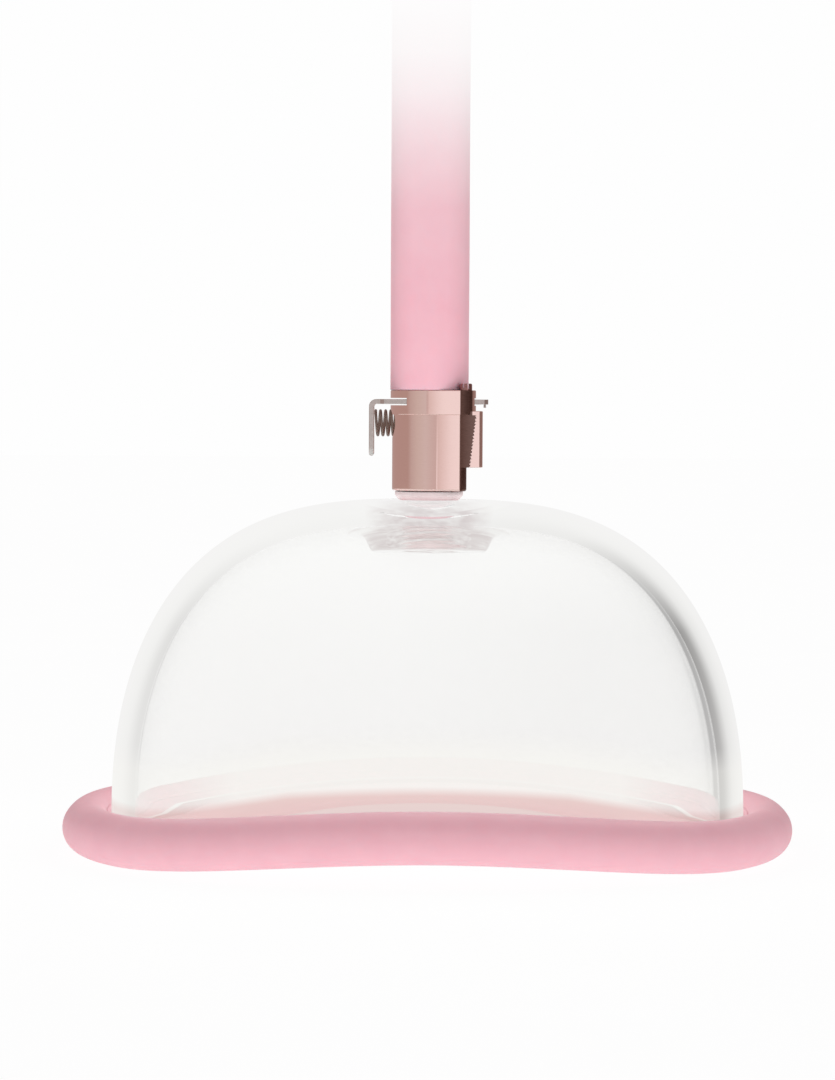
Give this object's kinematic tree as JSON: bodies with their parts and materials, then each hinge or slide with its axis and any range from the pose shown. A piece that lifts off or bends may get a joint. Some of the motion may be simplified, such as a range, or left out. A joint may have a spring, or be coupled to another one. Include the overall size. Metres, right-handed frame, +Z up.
{
  "type": "vacuum cupping cup with quick-release hose coupling",
  "caption": "Clear domed vacuum cup with a soft saddle-shaped silicone rim, and a thumb-latch quick-release coupling holding a straight suction hose.",
  "frame": {"origin": "on the cup's vertical axis, level with the lowest points of the silicone rim", "axes": "+Z up along the hose, X along the cup's long side with the latch's thumb tab at -X, +Y towards the back"},
  "size_m": [0.12, 0.0912, 0.146],
  "materials": {
    "clear_acrylic": "clear, polished",
    "pink_silicone": "soft satin",
    "milky_nylon": "milky, slightly see-through",
    "rose_gold": "polished rose-gold plating",
    "stainless_steel": "fine brushed",
    "spring_steel": "drawn wire",
    "white_plastic": "moulded, satin",
    "dark_rubber": "matt"
  },
  "bodies": {
    "cup": {"dome": "clear_acrylic", "rim_seal": "pink_silicone", "threaded_nipple": "milky_nylon", "nipple_washer": "pink_silicone", "coupling_body": "rose_gold", "body_o_ring": "dark_rubber", "latch_spring": "spring_steel", "cocking_pin_spring": "spring_steel", "valve_spring": "spring_steel"},
    "latch": {"latch_plate": "stainless_steel"},
    "pin": {"cocking_pin": "rose_gold"},
    "valve": {"valve_poppet": "white_plastic", "valve_seal": "dark_rubber"},
    "hose": {"hose": "pink_silicone", "hose_insert": "rose_gold", "insert_o_ring": "dark_rubber"}
  },
  "joints": [
    {"name": "latch_press", "type": "slide", "parent": "cup", "child": "latch", "axis": [1, 0, 0], "range_m": [0, 0.0013], "stiffness_N_per_m": 800, "springref_m": -0.0008, "deforming": ["latch_spring"]},
    {"name": "cocking_pin_press", "type": "slide", "parent": "cup", "child": "pin", "axis": [0, 0, -1], "range_m": [0, 0.0006], "stiffness_N_per_m": 40, "springref_m": -0.0005, "deforming": ["cocking_pin_spring"]},
    {"name": "valve_press", "type": "slide", "parent": "cup", "child": "valve", "axis": [0, 0, -1], "range_m": [0, 0.0005], "stiffness_N_per_m": 30, "springref_m": -0.0008, "deforming": ["valve_spring"]},
    {"name": "hose_swivel", "type": "hinge", "parent": "cup", "child": "hose", "pos_m": [0, 0, 0.0739], "axis": [0, 0, 1], "continuous": true}
  ]
}
